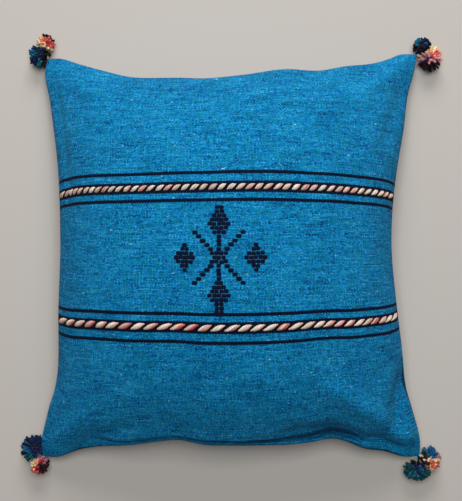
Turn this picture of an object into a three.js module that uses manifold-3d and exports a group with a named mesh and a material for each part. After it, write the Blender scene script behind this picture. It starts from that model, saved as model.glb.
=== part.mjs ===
import * as THREE from 'three';
import Module from 'manifold-3d';
import { mergeVertices } from 'three/addons/utils/BufferGeometryUtils.js';

// A filled, flat-woven wool cushion cover lying on its back, with two twined bands across its
// face and a pair of cut-yarn pompoms at each corner. Millimetres, +Z up, +X to the right and
// +Y towards the top edge as one looks down on the face. Z = 0 is the surface it lies on.

// The cover was cut from two rectangles of about this size, seam to seam.
const CUT = { width: 472, length: 503 };

// Where the four corners lie once the cover is filled, measured from the point of the floor
// below the eye. The shape is a little uneven, as in the real cushion.
const CORNERS = {
  top_left: { x: -229.2, y: 238.5 },
  top_right: { x: 231.8, y: 244.8 },
  bottom_right: { x: 228.5, y: -249.9 },
  bottom_left: { x: -227.3, y: -249.9 },
};

// The seam between two corners is drawn in by the filling. Each row says how far along the
// side it is, as a fraction, and how far the seam lies inside the straight line there.
const LEFT_SIDE = [
  { at: 0, drawnIn: 0 },
  { at: 0.04, drawnIn: -0.4 },
  { at: 0.12, drawnIn: 9.2 },
  { at: 0.17, drawnIn: 17.2 },
  { at: 0.23, drawnIn: 21.6 },
  { at: 0.36, drawnIn: 22.4 },
  { at: 0.5, drawnIn: 24.4 },
  { at: 0.62, drawnIn: 22.9 },
  { at: 0.72, drawnIn: 19.2 },
  { at: 0.82, drawnIn: 12 },
  { at: 0.9, drawnIn: 5 },
  { at: 0.95, drawnIn: -0.6 },
  { at: 1, drawnIn: 0 },
];
const RIGHT_SIDE = [
  { at: 0, drawnIn: 0 },
  { at: 0.04, drawnIn: 1 },
  { at: 0.12, drawnIn: 12 },
  { at: 0.17, drawnIn: 18.9 },
  { at: 0.27, drawnIn: 26 },
  { at: 0.39, drawnIn: 33.6 },
  { at: 0.5, drawnIn: 38.3 },
  { at: 0.6, drawnIn: 36.8 },
  { at: 0.7, drawnIn: 30.4 },
  { at: 0.8, drawnIn: 21 },
  { at: 0.89, drawnIn: 13.8 },
  { at: 0.95, drawnIn: 5.2 },
  { at: 1, drawnIn: 0 },
];
const TOP_SIDE = [
  { at: 0, drawnIn: 0 },
  { at: 0.04, drawnIn: 2 },
  { at: 0.09, drawnIn: 10 },
  { at: 0.15, drawnIn: 19.6 },
  { at: 0.24, drawnIn: 31 },
  { at: 0.36, drawnIn: 33 },
  { at: 0.44, drawnIn: 34.8 },
  { at: 0.54, drawnIn: 31.2 },
  { at: 0.64, drawnIn: 26 },
  { at: 0.73, drawnIn: 26.2 },
  { at: 0.8, drawnIn: 20 },
  { at: 0.87, drawnIn: 15.6 },
  { at: 0.92, drawnIn: 9 },
  { at: 0.955, drawnIn: 2.6 },
  { at: 1, drawnIn: 0 },
];
const BOTTOM_SIDE = [
  { at: 0, drawnIn: 0 },
  { at: 0.045, drawnIn: 0.9 },
  { at: 0.1, drawnIn: 8.9 },
  { at: 0.15, drawnIn: 13.2 },
  { at: 0.24, drawnIn: 16.6 },
  { at: 0.32, drawnIn: 21.8 },
  { at: 0.37, drawnIn: 23.2 },
  { at: 0.44, drawnIn: 17.8 },
  { at: 0.65, drawnIn: 17.3 },
  { at: 0.71, drawnIn: 20 },
  { at: 0.76, drawnIn: 23.6 },
  { at: 0.8, drawnIn: 20 },
  { at: 0.85, drawnIn: 10.5 },
  { at: 0.9, drawnIn: 7 },
  { at: 0.955, drawnIn: -0.4 },
  { at: 1, drawnIn: 0 },
];

// Away from the seams the cloth follows an even curve of this depth instead of the rows above.
const EVEN_DEPTH = { left: 24, right: 37, top: 34, bottom: 20 };
const EVEN_FALL = 2.6;
const SEAM_INFLUENCE = 4;

// Heights of the filled form.
const CORNER_HEIGHT = 10;
const SEAM_HEIGHT = 43;
const FACE_CROWN = 88;
const BACK_CROWN = 60;
const SEAM_THICKNESS = 2.6;

// How the crown falls towards the seams, and how much steeper the cloth stands there.
const FALL = 2.2;
const FULLNESS = 0.73;
const STEEPNESS = 0.15;

// The seam allowance holds the face down in a soft channel beside the bottom seam.
const CHANNEL = { fromSeam: 9, halfWidth: 5, depth: 3, start: 0.15, end: 0.86, fade: 0.1 };

// Facets across and along each face, crowded towards the seams.
const FACETS = { across: 34, along: 36, crowding: 0.6 };

// The two twined bands: their distance above the middle of the face, measured along the cloth
// at the left seam, the middle and the right seam, and how many slanted wraps each has.
const BANDS = [
  { name: 'twined_cord_upper', left: 75.2, middle: 76.5, right: 68.5, wraps: 41 },
  { name: 'twined_cord_lower', left: -82.1, middle: -83.9, right: -81, wraps: 28 },
];
const BAND = { wide: 5.6, thick: 3.8, sides: 6, stepsPerWrap: 4, endInset: 0.006 };

// Small steps across the face, as a fraction, and along it, from which its slope is taken.
const PROBE = { across: 0.003, along: 2 };

// The pompoms: where each middle lies from its corner, its half sizes, and how far above or
// below the seam's middle its tie is knotted to the corner.
const POMPOMS = [
  { corner: 'top_left', tone: 'dark', right: -9.5, up: 5.5, rx: 15, ry: 18, knotUp: -1.3 },
  { corner: 'top_left', tone: 'bright', right: -1.9, up: 20.3, rx: 11.5, ry: 13, knotUp: 1.3 },
  { corner: 'top_right', tone: 'dark', right: 7.5, up: 11, rx: 13, ry: 11.5, knotUp: -1.3 },
  { corner: 'top_right', tone: 'bright', right: 17.5, up: -4.5, rx: 16, ry: 18, knotUp: 1.3 },
  { corner: 'bottom_right', tone: 'bright', right: 12.3, up: -4.3, rx: 14.5, ry: 16, knotUp: 1.3 },
  { corner: 'bottom_right', tone: 'dark', right: -2.5, up: -18, rx: 18, ry: 12.5, knotUp: -1.3 },
  { corner: 'bottom_left', tone: 'dark', right: -12, up: 8, rx: 16.5, ry: 18, knotUp: -1.3 },
  { corner: 'bottom_left', tone: 'bright', right: -4.9, up: -10, rx: 11.5, ry: 13, knotUp: 1.3 },
];
const POMPOM = { middleHeight: 11.5, rz: 12.5, headRadius: 5.4, locks: 30, unevenness: 0.1 };
const LOCK = { rootRadius: 1.3, tipRadius: 2.3, sides: 3, shortest: 7, step: 0.25 };
const TIE = { radius: 1, sides: 5, knotRadius: 1.2 };
const GAP = 0.35;

const FABRIC = {
  kilim: new THREE.MeshStandardMaterial({ color: 0x1b6f9f, roughness: 0.92, metalness: 0 }),
  twine: new THREE.MeshStandardMaterial({ color: 0xdca492, roughness: 0.88, metalness: 0 }),
  dark: new THREE.MeshStandardMaterial({ color: 0x1a3350, roughness: 0.9, metalness: 0 }),
  bright: new THREE.MeshStandardMaterial({ color: 0xd97f70, roughness: 0.88, metalness: 0 }),
};

// A smooth curve through a table's rows, one cubic between each pair of rows.
function drawnInAt(rows, at) {
  let row = 0;
  while (row < rows.length - 2 && rows[row + 1].at <= at) row += 1;
  const slope = (k) => {
    const before = rows[Math.max(k - 1, 0)];
    const after = rows[Math.min(k + 1, rows.length - 1)];
    return (after.drawnIn - before.drawnIn) / (after.at - before.at);
  };
  const span = rows[row + 1].at - rows[row].at;
  const q = (at - rows[row].at) / span;
  return rows[row].drawnIn * (1 + 2 * q) * (1 - q) ** 2
    + slope(row) * span * q * (1 - q) ** 2
    + rows[row + 1].drawnIn * q * q * (3 - 2 * q)
    + slope(row + 1) * span * q * q * (q - 1);
}

// A point of one side's line, seen from above: the straight line between two corners moved
// inwards by the table on the seam itself, and by the even curve away from it.
function sidePoint(rows, evenDepth, from, to, at, inward, away) {
  const even = evenDepth * (1 - Math.abs(2 * at - 1) ** EVEN_FALL);
  const depth = even + (drawnInAt(rows, at) - even) * (1 - away) ** SEAM_INFLUENCE;
  return {
    x: from.x + (to.x - from.x) * at + depth * inward.x,
    y: from.y + (to.y - from.y) * at + depth * inward.y,
  };
}

// The plan of the cushion: a patch blended from its four sides, s across and t along.
function plan(s, t) {
  const { top_left, top_right, bottom_right, bottom_left } = CORNERS;
  const depth = EVEN_DEPTH;
  const left = sidePoint(LEFT_SIDE, depth.left, bottom_left, top_left, t, { x: 1, y: 0 }, s);
  const right = sidePoint(
    RIGHT_SIDE, depth.right, bottom_right, top_right, t, { x: -1, y: 0 }, 1 - s);
  const bottom = sidePoint(
    BOTTOM_SIDE, depth.bottom, bottom_left, bottom_right, s, { x: 0, y: 1 }, t);
  const top = sidePoint(TOP_SIDE, depth.top, top_left, top_right, s, { x: 0, y: -1 }, 1 - t);
  const blend = (axis) => (1 - s) * left[axis] + s * right[axis]
    + (1 - t) * bottom[axis] + t * top[axis]
    - (1 - s) * (1 - t) * bottom_left[axis] - s * (1 - t) * bottom_right[axis]
    - (1 - s) * t * top_left[axis] - s * t * top_right[axis];
  return { x: blend('x'), y: blend('y') };
}

// The channel beside the bottom seam, a smooth dip that fades out at both ends.
function channelDepth(s, t) {
  const fromSeam = t * CUT.length;
  const dip = Math.exp(-(((fromSeam - CHANNEL.fromSeam) / CHANNEL.halfWidth) ** 2));
  const { smoothstep } = THREE.MathUtils;
  const fade = smoothstep(s, CHANNEL.start, CHANNEL.start + CHANNEL.fade)
    * (1 - smoothstep(s, CHANNEL.end - CHANNEL.fade, CHANNEL.end));
  return CHANNEL.depth * dip * fade;
}

// A point of the filled form; face is true on the front and false on the back. The height is
// the seam's height there plus a crown that is full in the middle and falls to the seams.
function cushionPoint(s, t, face) {
  const u = 2 * s - 1;
  const v = 2 * t - 1;
  const steeperU = 1 + STEEPNESS * (1 - u * u) * Math.sqrt(1 - v * v);
  const steeperV = 1 + STEEPNESS * (1 - v * v) * Math.sqrt(1 - u * u);
  const { x, y } = plan((1 + u * steeperU) / 2, (1 + v * steeperV) / 2);
  const edgeU = Math.abs(u) ** FALL;
  const edgeV = Math.abs(v) ** FALL;
  const crown = (Math.max(0, (1 - edgeU) * (1 - edgeV))) ** FULLNESS;
  const seam = CORNER_HEIGHT + (SEAM_HEIGHT - CORNER_HEIGHT) * (1 - edgeU * edgeV);
  const z = face
    ? seam + SEAM_THICKNESS / 2 + FACE_CROWN * crown - channelDepth(s, t)
    : Math.max(0, seam - SEAM_THICKNESS / 2 - BACK_CROWN * crown);
  return new THREE.Vector3(x, y, z);
}

// Facet lines from 0 to 1, closer together towards both ends.
function spaced(count) {
  return Array.from({ length: count + 1 }, (_, k) => {
    const even = k / count;
    const crowded = (1 - Math.cos(Math.PI * even)) / 2;
    return (1 - FACETS.crowding) * even + FACETS.crowding * crowded;
  });
}

// The filled cushion: front and back grids, closed by the narrow seam edge between them.
function cushion() {
  const across = spaced(FACETS.across);
  const along = spaced(FACETS.along);
  const positions = [];
  const layers = [true, false].map((face) => along.map((t) => across.map((s) => {
    positions.push(...cushionPoint(s, t, face).toArray());
    return positions.length / 3 - 1;
  })));
  const [front, back] = layers;
  const faces = [];
  for (let j = 0; j < FACETS.along; j += 1) {
    for (let i = 0; i < FACETS.across; i += 1) {
      const corners = (layer) => [layer[j][i], layer[j][i + 1], layer[j + 1][i + 1], layer[j + 1][i]];
      const [a, b, c, d] = corners(front);
      const [e, f, g, h] = corners(back);
      faces.push(a, b, c, a, c, d, e, g, f, e, h, g);
    }
  }
  const rim = [];
  for (let i = 0; i < FACETS.across; i += 1) rim.push([0, i]);
  for (let j = 0; j < FACETS.along; j += 1) rim.push([j, FACETS.across]);
  for (let i = FACETS.across; i > 0; i -= 1) rim.push([FACETS.along, i]);
  for (let j = FACETS.along; j > 0; j -= 1) rim.push([j, 0]);
  rim.forEach(([j, i], k) => {
    const [nextJ, nextI] = rim[(k + 1) % rim.length];
    const upper = [front[j][i], front[nextJ][nextI]];
    const lower = [back[j][i], back[nextJ][nextI]];
    faces.push(lower[0], lower[1], upper[1], lower[0], upper[1], upper[0]);
  });
  return closedGeometry(positions, faces);
}

function closedGeometry(positions, faces) {
  const geometry = new THREE.BufferGeometry();
  geometry.setAttribute('position', new THREE.Float32BufferAttribute(positions, 3));
  geometry.setIndex(faces);
  geometry.computeVertexNormals();
  return geometry;
}

// Where a band runs on the face: a shallow bow through its three given distances. The point can
// also be taken a little further along the cloth.
function bandPoint(band, s, further = 0) {
  const u = 2 * s - 1;
  const tilt = (band.right - band.left) / 2;
  const ends = (band.right + band.left) / 2;
  const distance = band.middle + tilt * u + (ends - band.middle) * u * u + further;
  return cushionPoint(s, 0.5 + distance / CUT.length, true);
}

// A twined band: an oval carried along the face, turning half a turn for each slanted wrap.
function twinedBand(band) {
  const steps = band.wraps * BAND.stepsPerWrap;
  const positions = [];
  const faces = [];
  const ring = (k, j) => k * BAND.sides + (j % BAND.sides);
  for (let k = 0; k <= steps; k += 1) {
    const s = BAND.endInset + (1 - 2 * BAND.endInset) * (k / steps);
    const here = bandPoint(band, s);
    const along = bandPoint(band, s + PROBE.across).sub(bandPoint(band, s - PROBE.across));
    along.normalize();
    const sideways = bandPoint(band, s, PROBE.along).sub(here).normalize();
    const outward = along.clone().cross(sideways).normalize();
    const beside = outward.clone().cross(along).normalize();
    const middle = here.clone().addScaledVector(outward, BAND.wide / 2 + GAP);
    const turned = -Math.PI * (k / BAND.stepsPerWrap);
    for (let j = 0; j < BAND.sides; j += 1) {
      const angle = (2 * Math.PI * j) / BAND.sides;
      const wide = (BAND.wide / 2) * Math.cos(angle);
      const thick = (BAND.thick / 2) * Math.sin(angle);
      const right = wide * Math.cos(turned) - thick * Math.sin(turned);
      const up = wide * Math.sin(turned) + thick * Math.cos(turned);
      const point = middle.clone().addScaledVector(beside, right).addScaledVector(outward, up);
      positions.push(...point.toArray());
    }
    if (k === steps) continue;
    for (let j = 0; j < BAND.sides; j += 1) {
      faces.push(ring(k, j), ring(k, j + 1), ring(k + 1, j + 1));
      faces.push(ring(k, j), ring(k + 1, j + 1), ring(k + 1, j));
    }
  }
  for (let j = 1; j < BAND.sides - 1; j += 1) {
    faces.push(ring(0, 0), ring(0, j + 1), ring(0, j));
    faces.push(ring(steps, 0), ring(steps, j), ring(steps, j + 1));
  }
  return closedGeometry(positions, faces);
}

// A corner of the cushion, with the signs that point out of it.
function cornerOf(row) {
  const { x, y } = CORNERS[row.corner];
  return { x, y, outX: Math.sign(x), outY: Math.sign(y) };
}

function pompomMiddle(row) {
  const corner = cornerOf(row);
  return new THREE.Vector3(corner.x + row.right, corner.y + row.up, POMPOM.middleHeight);
}

// How far a point lies outside the corner's two sides, seen from above.
function outsideCorner(row, point) {
  const corner = cornerOf(row);
  const beyondX = Math.max(0, corner.outX * (point.x - corner.x));
  const beyondY = Math.max(0, corner.outY * (point.y - corner.y));
  return Math.hypot(beyondX, beyondY);
}

// The knot of a pompom's tie at the corner; the two knots of a pair sit one above the other.
function tieKnot(row) {
  const corner = new THREE.Vector3(cornerOf(row).x, cornerOf(row).y, 0);
  const direction = new THREE.Vector3(row.right, row.up, 0).normalize();
  const spread = outsideCorner(row, corner.clone().add(direction));
  const end = corner.addScaledVector(direction, (TIE.knotRadius + GAP) / spread);
  return end.setZ(CORNER_HEIGHT + row.knotUp);
}

// A rod of a few sides from one point to another, as a solid.
function rod(solids, from, to, fromRadius, toRadius, sides) {
  const along = to.clone().sub(from);
  const geometry = new THREE.CylinderGeometry(toRadius, fromRadius, along.length(), sides);
  const turn = new THREE.Quaternion();
  turn.setFromUnitVectors(new THREE.Vector3(0, 1, 0), along.clone().normalize());
  geometry.applyQuaternion(turn);
  geometry.translate(...from.clone().add(to).multiplyScalar(0.5).toArray());
  return solidFrom(solids, geometry);
}

function solidFrom(solids, geometry) {
  geometry.deleteAttribute('normal');
  geometry.deleteAttribute('uv');
  const merged = mergeVertices(geometry, 1e-4);
  return new solids.Manifold(new solids.Mesh({
    numProp: 3,
    vertProperties: Float32Array.from(merged.attributes.position.array),
    triVerts: Uint32Array.from(merged.index.array),
  }));
}

// Directions spread evenly over a ball by the golden angle, each a little out of line.
function lockDirections(seed) {
  const golden = Math.PI * (3 - Math.sqrt(5));
  return Array.from({ length: POMPOM.locks }, (_, k) => {
    const up = 1 - (2 * (k + 0.5)) / POMPOM.locks;
    const turn = golden * k + seed + POMPOM.unevenness * Math.sin(7 * k + seed);
    const flat = Math.sqrt(1 - up * up);
    return new THREE.Vector3(flat * Math.cos(turn), flat * Math.sin(turn), up);
  });
}

// How long a lock can be: to the pompom's oval outline, and short of the floor, the cushion,
// the pompom beside it and that pompom's tie.
function lockLength(row, neighbour, direction, k) {
  const middle = pompomMiddle(row);
  const other = pompomMiddle(neighbour);
  const oval = Math.hypot(direction.x / row.rx, direction.y / row.ry, direction.z / POMPOM.rz);
  const longest = (1 + POMPOM.unevenness * Math.sin(5 * k)) / oval;
  const size = (each) => (each.rx + each.ry) / 2;
  const apart = other.clone().sub(middle);
  const share = apart.length() * (size(row) / (size(row) + size(neighbour)));
  apart.normalize();
  const otherTie = new THREE.Line3(other, tieKnot(neighbour));
  const nearest = new THREE.Vector3();
  let length = 0;
  for (let reach = POMPOM.headRadius; reach <= longest; reach += LOCK.step) {
    const tip = middle.clone().addScaledVector(direction, reach);
    const level = Math.sqrt(1 - direction.z ** 2);
    otherTie.closestPointToPoint(tip, true, nearest);
    const clear = tip.z >= LOCK.tipRadius * level
      && outsideCorner(row, tip) > LOCK.tipRadius + GAP
      && reach * direction.dot(apart) + LOCK.tipRadius < share - GAP
      && nearest.distanceTo(tip) > TIE.knotRadius + LOCK.tipRadius + GAP;
    if (!clear) break;
    length = reach;
  }
  return length;
}

// A pompom: locks of cut yarn fused at their roots into a bound head, and its tie.
function pompom(solids, row, seed) {
  const neighbour = POMPOMS.find((each) => each.corner === row.corner && each !== row);
  const middle = pompomMiddle(row);
  const head = new THREE.IcosahedronGeometry(POMPOM.headRadius, 0);
  head.translate(...middle.toArray());
  let whole = solidFrom(solids, head);
  whole = whole.add(rod(solids, middle, tieKnot(row), TIE.radius, TIE.radius, TIE.sides));
  const knot = new THREE.IcosahedronGeometry(TIE.knotRadius, 0);
  knot.translate(...tieKnot(row).toArray());
  whole = whole.add(solidFrom(solids, knot));
  lockDirections(seed).forEach((direction, k) => {
    const length = lockLength(row, neighbour, direction, k);
    if (length < LOCK.shortest) return;
    const tip = middle.clone().addScaledVector(direction, length);
    const root = middle.clone().addScaledVector(direction, POMPOM.headRadius / 2);
    whole = whole.add(rod(solids, root, tip, LOCK.rootRadius, LOCK.tipRadius, LOCK.sides));
  });
  const { vertProperties, triVerts } = whole.getMesh();
  const geometry = closedGeometry(Array.from(vertProperties), Array.from(triVerts));
  geometry.computeBoundingBox();
  return geometry.translate(0, 0, -geometry.boundingBox.min.z);
}

function named(name, geometry, material) {
  const mesh = new THREE.Mesh(geometry, material);
  mesh.name = name;
  return mesh;
}

const solids = await Module();
solids.setup();

const group = new THREE.Group();
group.add(named('cushion', cushion(), FABRIC.kilim));
for (const band of BANDS) {
  group.add(named(band.name, twinedBand(band), FABRIC.twine));
}
POMPOMS.forEach((row, k) => {
  const name = `pompom_${row.corner}_${row.tone}`;
  group.add(named(name, pompom(solids, row, k), FABRIC[row.tone]));
});

// The origin is the middle of the underside of everything.
const box = new THREE.Box3().setFromObject(group);
const middle = box.getCenter(new THREE.Vector3());
group.position.set(-middle.x, -middle.y, -box.min.z);

export default group;
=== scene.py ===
"""A filled, flat-woven kilim pillow cover lying on its back: the woven cover with its black
lines, two bands of twined wool, a brocaded star of short dashes, and a pair of cut-yarn pompoms
at each corner. Sizes are in millimetres until a mesh is made; X runs to the right of the face,
Y towards its top edge and Z out of it, and Z = 0 is the surface that the cushion lies on."""

import bpy
import numpy as np
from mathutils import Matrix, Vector


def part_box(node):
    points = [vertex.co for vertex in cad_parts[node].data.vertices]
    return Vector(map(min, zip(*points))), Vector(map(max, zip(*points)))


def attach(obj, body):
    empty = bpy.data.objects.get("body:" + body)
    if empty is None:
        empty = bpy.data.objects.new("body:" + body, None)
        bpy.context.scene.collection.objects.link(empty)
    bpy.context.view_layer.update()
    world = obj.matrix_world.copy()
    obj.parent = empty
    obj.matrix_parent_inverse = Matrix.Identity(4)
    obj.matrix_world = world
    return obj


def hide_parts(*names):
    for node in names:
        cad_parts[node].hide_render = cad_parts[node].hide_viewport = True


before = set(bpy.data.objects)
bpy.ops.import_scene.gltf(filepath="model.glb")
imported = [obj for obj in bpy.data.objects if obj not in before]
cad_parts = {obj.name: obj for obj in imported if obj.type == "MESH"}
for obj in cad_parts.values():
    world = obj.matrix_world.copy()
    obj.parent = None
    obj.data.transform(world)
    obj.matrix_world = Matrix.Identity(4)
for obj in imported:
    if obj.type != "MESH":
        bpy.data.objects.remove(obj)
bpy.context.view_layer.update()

MM = 0.001
SEED = 41

# The cut of each of the two rectangles, seam to seam.
CUT_WIDTH = 472.0
CUT_LENGTH = 503.0

# The four corners of the filled cover, from the point of the floor under the eye.
TOP_LEFT = (-229.2, 238.5)
TOP_RIGHT = (231.8, 244.8)
BOTTOM_RIGHT = (228.5, -249.9)
BOTTOM_LEFT = (-227.3, -249.9)

# Each seam: rows of (fraction along the side, how far the seam is drawn in there).
LEFT_SIDE = [
    (0, 0), (0.04, -0.4), (0.12, 9.2), (0.17, 17.2), (0.23, 21.6), (0.36, 22.4), (0.5, 24.4),
    (0.62, 22.9), (0.72, 19.2), (0.82, 12), (0.9, 5), (0.95, -0.6), (1, 0),
]
RIGHT_SIDE = [
    (0, 0), (0.04, 1), (0.12, 12), (0.17, 18.9), (0.27, 26), (0.39, 33.6), (0.5, 38.3),
    (0.6, 36.8), (0.7, 30.4), (0.8, 21), (0.89, 13.8), (0.95, 5.2), (1, 0),
]
TOP_SIDE = [
    (0, 0), (0.04, 2), (0.09, 10), (0.15, 19.6), (0.24, 31), (0.36, 33), (0.44, 34.8),
    (0.54, 31.2), (0.64, 26), (0.73, 26.2), (0.8, 20), (0.87, 15.6), (0.92, 9), (0.955, 2.6),
    (1, 0),
]
BOTTOM_SIDE = [
    (0, 0), (0.045, 0.9), (0.1, 8.9), (0.15, 13.2), (0.24, 16.6), (0.32, 21.8), (0.37, 23.2),
    (0.44, 17.8), (0.65, 17.3), (0.71, 20), (0.76, 23.6), (0.8, 20), (0.85, 10.5), (0.9, 7),
    (0.955, -0.4), (1, 0),
]
# Away from the seams the cloth follows an even curve of this depth instead.
EVEN_DEPTH = {"left": 24, "right": 37, "top": 34, "bottom": 20}
EVEN_FALL = 2.6
SEAM_INFLUENCE = 4

# Heights of the filled form.
CORNER_HEIGHT = 10.0
SEAM_HEIGHT = 43.0
FACE_CROWN = 88.0
BACK_CROWN = 60.0
SEAM_THICKNESS = 2.6
FALL = 2.2
FULLNESS = 0.73
STEEPNESS = 0.15

# The simulated filling: its grid, how far it may move from the form, how high above the floor
# the back moves freely, and its cloth in Blender's own units.
SIM_ACROSS = 64
SIM_ALONG = 68
SIM_FRAMES = 30
SIM_CAP = 8.0
SIM_FLOOR_GAP = 1.0
SIM_FLOOR_HALF = 1000.0
REST_FADE = 10.0
WOOL_CLOTH = {
    "quality": 5, "mass": 0.3, "tension_stiffness": 30, "compression_stiffness": 30,
    "shear_stiffness": 8, "bending_stiffness": 2, "tension_damping": 10,
    "compression_damping": 10, "shear_damping": 10, "bending_damping": 1,
    "use_pressure": True, "uniform_pressure_force": 4,
}

# The fine grid of the finished cloth, and how strongly its lines crowd towards the seams.
FINE_ACROSS = 176
FINE_ALONG = 186
SEAM_CROWDING = 3.0
SEAM_CROWD_WIDTH = 0.05

# The strips of the seam edge: how far up each lies from back to front, and how far it stands out.
# Each strip's share also sets how much painted shade the material puts on it: some on the outer two,
# full on the drawn-in middle one.
SEAM_STRIPS = [(0.8, 0.55), (0.5, -0.9), (0.2, 0.55)]

# The step beside the bottom seam, where the face overhangs a narrow lip of cloth. At its widest
# place, towards the right, its line comes nearer to the seam; at the left it is shallower.
LIP_FROM_SEAM = 11.0
LIP_EDGE = 2.4
LIP_WIDEST = 0.74
LIP_WIDE_REACH = 0.13
LIP_DEPTH = 4.5
LIP_CREASE = 12.0
LIP_START = 0.13
LIP_END = 0.87
LIP_FADE = 0.07
LIP_NEARER = 0.42
LIP_WIDER = 1.3
LIP_LEFT_SHARE = 0.45
# Painted shade: how much the crease and the flat lip are darkened in the cloth's colour.
LIP_SHADE = {"crease": 0.5, "flat": 0.12}

# The puckers at the seams, as waves whose lengths and reach are in millimetres.
PUCKERS = [
    {"length": 5.3, "height": 1.0, "turn": 3},
    {"length": 8.9, "height": 0.8, "turn": 5},
    {"length": 3.7, "height": 0.6, "turn": 1},
]
PUCKER_HEIGHT = 0.34
PUCKER_SWELL = 31.0
PUCKER_REACH = 16.0
PUCKER_START = 3.0

# Soft folds of the face, in millimetres of cloth from its middle. Height is negative for a dent.
FOLDS = [
    {"start": (128, -168), "end": (212, -222), "width": 15, "height": 7.5},
    {"start": (76, -230), "end": (206, -240), "width": 12, "height": -7.0},
    {"start": (228, -158), "end": (200, -204), "width": 14, "height": -7.0},
    {"start": (216, 238), "end": (160, 190), "width": 15, "height": 2.6},
    {"start": (222, 196), "end": (205, 130), "width": 13, "height": -3.0},
    {"start": (-222, 238), "end": (-172, 196), "width": 15, "height": 2.4},
    {"start": (-222, 190), "end": (-214, 60), "width": 10, "height": -2.6},
    {"start": (-224, -240), "end": (-176, -200), "width": 15, "height": 3.0},
    {"start": (-190, -246), "end": (-130, -222), "width": 12, "height": -2.6},
    {"start": (-60, 236), "end": (-40, 150), "width": 26, "height": -1.8},
    {"start": (60, 240), "end": (84, 130), "width": 30, "height": 1.8},
    {"start": (-40, -236), "end": (20, -150), "width": 30, "height": 1.3},
    {"start": (-140, -236), "end": (14, -236), "width": 10, "height": 3.0},
]

# The weave: two twined bands and the thin lines beside them. A band's rows give its distance
# from the middle, along the cloth, at fractions of the way from the left seam to the right one.
UPPER_PATH = [
    (0, 68.6), (0.06, 69.2), (0.15, 71.0), (0.3, 73.4), (0.5, 74.3), (0.7, 71.7), (0.85, 66.8),
    (0.94, 63.8), (1, 63.0),
]
LOWER_PATH = [
    (0, -79.9), (0.06, -80.6), (0.15, -81.4), (0.3, -83.1), (0.5, -84.4), (0.7, -83.0),
    (0.85, -80.4), (0.94, -78.6), (1, -77.7),
]
BANDS = [
    {"name": "twined_band_upper", "node": "twined_cord_upper", "weave_y": 80.0,
     "path": UPPER_PATH, "wraps": 44, "drift": -0.09, "slant": 7.4, "red": 0.1},
    {"name": "twined_band_lower", "node": "twined_cord_lower", "weave_y": -80.0,
     "path": LOWER_PATH, "wraps": 31, "drift": 0.18, "slant": 12.0, "red": 0.9},
]
BLACK_LINES = [
    {"middle": 64.5, "half_width": 2.1},
    {"middle": 80.0, "half_width": 6.9},
    {"middle": 97.6, "half_width": 2.1},
]
BAND_WIDTH = 6.6
BAND_REACH = CUT_WIDTH * 0.985
SEAM_CLEARANCE = 1.2
WRAP_YARNS = 4
WRAP_SHARE = 0.54
WRAP_RISE = 2.3
WRAP_SUNK = 0.45
WRAP_STEPS = 11
WRAP_SIDES = 8
FURROW_PLACES = [0.42, 0.56]
FURROW_RISE = 0.5
FURROW_RADIUS = 0.95

# The wool of the weave: how far apart its yarns and their twists are, how their shades run, and
# how yarns, flecks and clouds add up to a tone that picks one of the blues.
YARN_PITCH = 1.8
TWIST_PITCH = 0.8
WARP_SHADE = {"length": 11.0, "contrast": 0.8, "seed": 3.0}
WEFT_SHADE = {"length": 45.0, "contrast": 1.15, "seed": 8.0}
FLECK_STRETCH = (0.45, 1.0, 1.0)
BLUES = [(0.31, 0x042A4E), (0.38, 0x084474), (0.46, 0x0C69A5), (0.56, 0x118CC8), (0.69, 0x3CB0E2)]
TONE_OF_YARNS = 0.62
TONE_OF_FLECKS = 0.58
TONE_OF_CLOUDS = 0.14
TONE_SHIFT = -0.159
GREENISH = 0x0C8290
GREEN_FROM = 0.42
GREEN_GAIN = 1.6
PALE_SLUB = 0x96CDE6
SLUB_FROM = 0.745
SLUB_GAIN = 14.0
YARN_ROW_STEP = 0.73
TWIST_DEPTH = 0.16

# The star: how many dashes each row of the weave has, in its upright and its side diamonds. Its
# four arms have one dash in each of their rows.
STAR_MIDDLE = (-8.0, -0.7)
DASH_LENGTH = 5.7
DASH_HEIGHT = 4.9
DASH_PITCH = 5.3
DASH_RAISE = 0.8
DASH_ROUNDING = 0.42
DASH_RIM_SUNK = 0.12
DASH_UNDERSIDE = 0.5
DASH_WANDER = 0.22
ROW_PITCH = 4.72
UPRIGHT_ROWS = {
    12: 2, 11: 2, 10: 3, 9: 4, 8: 5, 7: 4, 6: 3, 5: 1, 4: 1, 3: 1, 2: 1, 1: 4, 0: 3, -1: 4,
    -2: 1, -3: 1, -4: 1, -5: 1, -6: 2, -7: 3, -8: 4, -9: 5, -10: 4, -11: 2, -12: 2, -13: 2,
}
SIDE_DIAMONDS = [
    {"right": -39.5, "rows": {3: 1, 2: 2, 1: 4, 0: 5, -1: 4, -2: 2, -3: 1}, "pitch": 4.9},
    {"right": 42.3, "rows": {3: 1, 2: 2, 1: 4, 0: 5, -1: 4, -2: 2, -3: 1}, "pitch": 5.3},
]
ARM_ROWS = (2, 3, 4, 5, 6)
ARM_SPREAD = 4.6
ARM_DASH_LENGTH = 6.8

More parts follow.
